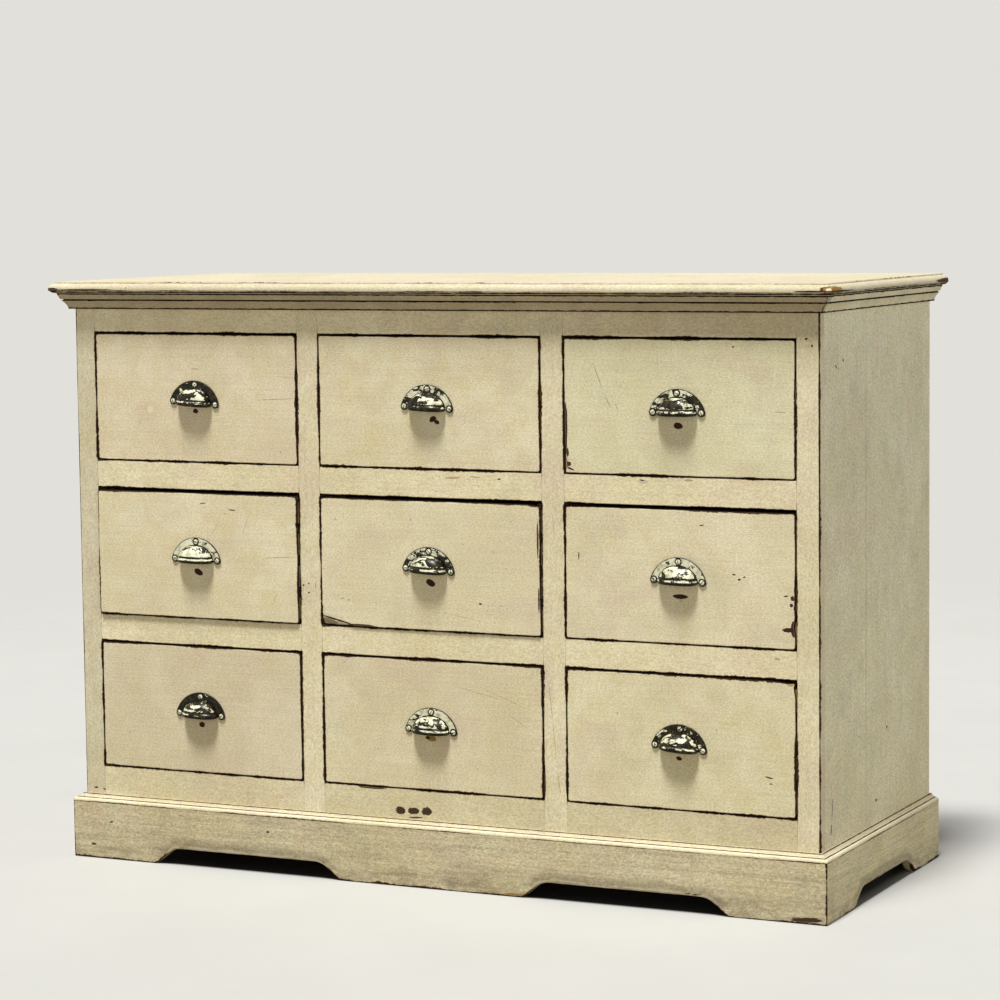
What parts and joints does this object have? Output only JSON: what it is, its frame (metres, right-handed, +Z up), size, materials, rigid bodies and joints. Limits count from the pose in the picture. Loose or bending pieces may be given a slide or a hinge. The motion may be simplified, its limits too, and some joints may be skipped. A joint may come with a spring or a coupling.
{
  "type": "bank of drawers",
  "caption": "Low wide chest of equal drawers in rows, with a face frame, moulded top, shaped plinth, worn cream paint and cast cup pulls.",
  "frame": {"origin": "on the floor, under the middle of the whole piece", "axes": "+X to the viewer's right along the front, +Y from the front to the back, +Z up"},
  "size_m": [1.311, 0.5336, 0.923],
  "materials": {
    "painted_wood": "worn cream paint on pine, rubbed through to dark wood at the edges",
    "bare_wood": "bare aged pine",
    "pull_casting": "dark casting under flaking cream paint",
    "pull_screws": "old steel with traces of cream paint"
  },
  "bodies": {
    "carcass": {"top_board": "painted_wood", "bed_moulding": "painted_wood", "side_panel_left": "painted_wood", "side_panel_right": "painted_wood", "partition_left": "bare_wood", "partition_right": "bare_wood", "outer_stiles": "painted_wood", "inner_stiles": "painted_wood", "top_rails": "painted_wood", "middle_rails": "painted_wood", "bottom_rails": "painted_wood", "bottom_board": "bare_wood", "back_boards": "bare_wood", "backing_rails": "bare_wood", "drawer_runners": "bare_wood", "top_kickers": "bare_wood", "drawer_guides": "bare_wood", "drawer_stops": "bare_wood", "plinth_front": "painted_wood", "plinth_left": "painted_wood", "plinth_right": "painted_wood", "plinth_cap": "painted_wood", "glue_blocks": "bare_wood"},
    "drawer_bottom_left": {"drawer_front_bottom_left": "painted_wood", "drawer_box_bottom_left": "bare_wood", "cup_pull_bottom_left": "pull_casting", "pull_screws_bottom_left": "pull_screws"},
    "drawer_bottom_centre": {"drawer_front_bottom_centre": "painted_wood", "drawer_box_bottom_centre": "bare_wood", "cup_pull_bottom_centre": "pull_casting", "pull_screws_bottom_centre": "pull_screws"},
    "drawer_bottom_right": {"drawer_front_bottom_right": "painted_wood", "drawer_box_bottom_right": "bare_wood", "cup_pull_bottom_right": "pull_casting", "pull_screws_bottom_right": "pull_screws"},
    "drawer_middle_left": {"drawer_front_middle_left": "painted_wood", "drawer_box_middle_left": "bare_wood", "cup_pull_middle_left": "pull_casting", "pull_screws_middle_left": "pull_screws"},
    "drawer_middle_centre": {"drawer_front_middle_centre": "painted_wood", "drawer_box_middle_centre": "bare_wood", "cup_pull_middle_centre": "pull_casting", "pull_screws_middle_centre": "pull_screws"},
    "drawer_middle_right": {"drawer_front_middle_right": "painted_wood", "drawer_box_middle_right": "bare_wood", "cup_pull_middle_right": "pull_casting", "pull_screws_middle_right": "pull_screws"},
    "drawer_top_left": {"drawer_front_top_left": "painted_wood", "drawer_box_top_left": "bare_wood", "cup_pull_top_left": "pull_casting", "pull_screws_top_left": "pull_screws"},
    "drawer_top_centre": {"drawer_front_top_centre": "painted_wood", "drawer_box_top_centre": "bare_wood", "cup_pull_top_centre": "pull_casting", "pull_screws_top_centre": "pull_screws"},
    "drawer_top_right": {"drawer_front_top_right": "painted_wood", "drawer_box_top_right": "bare_wood", "cup_pull_top_right": "pull_casting", "pull_screws_top_right": "pull_screws"}
  },
  "joints": [
    {"name": "slide_bottom_left", "type": "slide", "parent": "carcass", "child": "drawer_bottom_left", "axis": [0, -1, 0], "range_m": [-0.001, 0.33]},
    {"name": "slide_bottom_centre", "type": "slide", "parent": "carcass", "child": "drawer_bottom_centre", "axis": [0, -1, 0], "range_m": [-0.001, 0.33]},
    {"name": "slide_bottom_right", "type": "slide", "parent": "carcass", "child": "drawer_bottom_right", "axis": [0, -1, 0], "range_m": [-0.001, 0.33]},
    {"name": "slide_middle_left", "type": "slide", "parent": "carcass", "child": "drawer_middle_left", "axis": [0, -1, 0], "range_m": [-0.005, 0.33]},
    {"name": "slide_middle_centre", "type": "slide", "parent": "carcass", "child": "drawer_middle_centre", "axis": [0, -1, 0], "range_m": [-0.003, 0.33]},
    {"name": "slide_middle_right", "type": "slide", "parent": "carcass", "child": "drawer_middle_right", "axis": [0, -1, 0], "range_m": [-0.001, 0.33]},
    {"name": "slide_top_left", "type": "slide", "parent": "carcass", "child": "drawer_top_left", "axis": [0, -1, 0], "range_m": [-0.001, 0.33]},
    {"name": "slide_top_centre", "type": "slide", "parent": "carcass", "child": "drawer_top_centre", "axis": [0, -1, 0], "range_m": [-0.001, 0.33]},
    {"name": "slide_top_right", "type": "slide", "parent": "carcass", "child": "drawer_top_right", "axis": [0, -1, 0], "range_m": [-0.001, 0.33]}
  ]
}
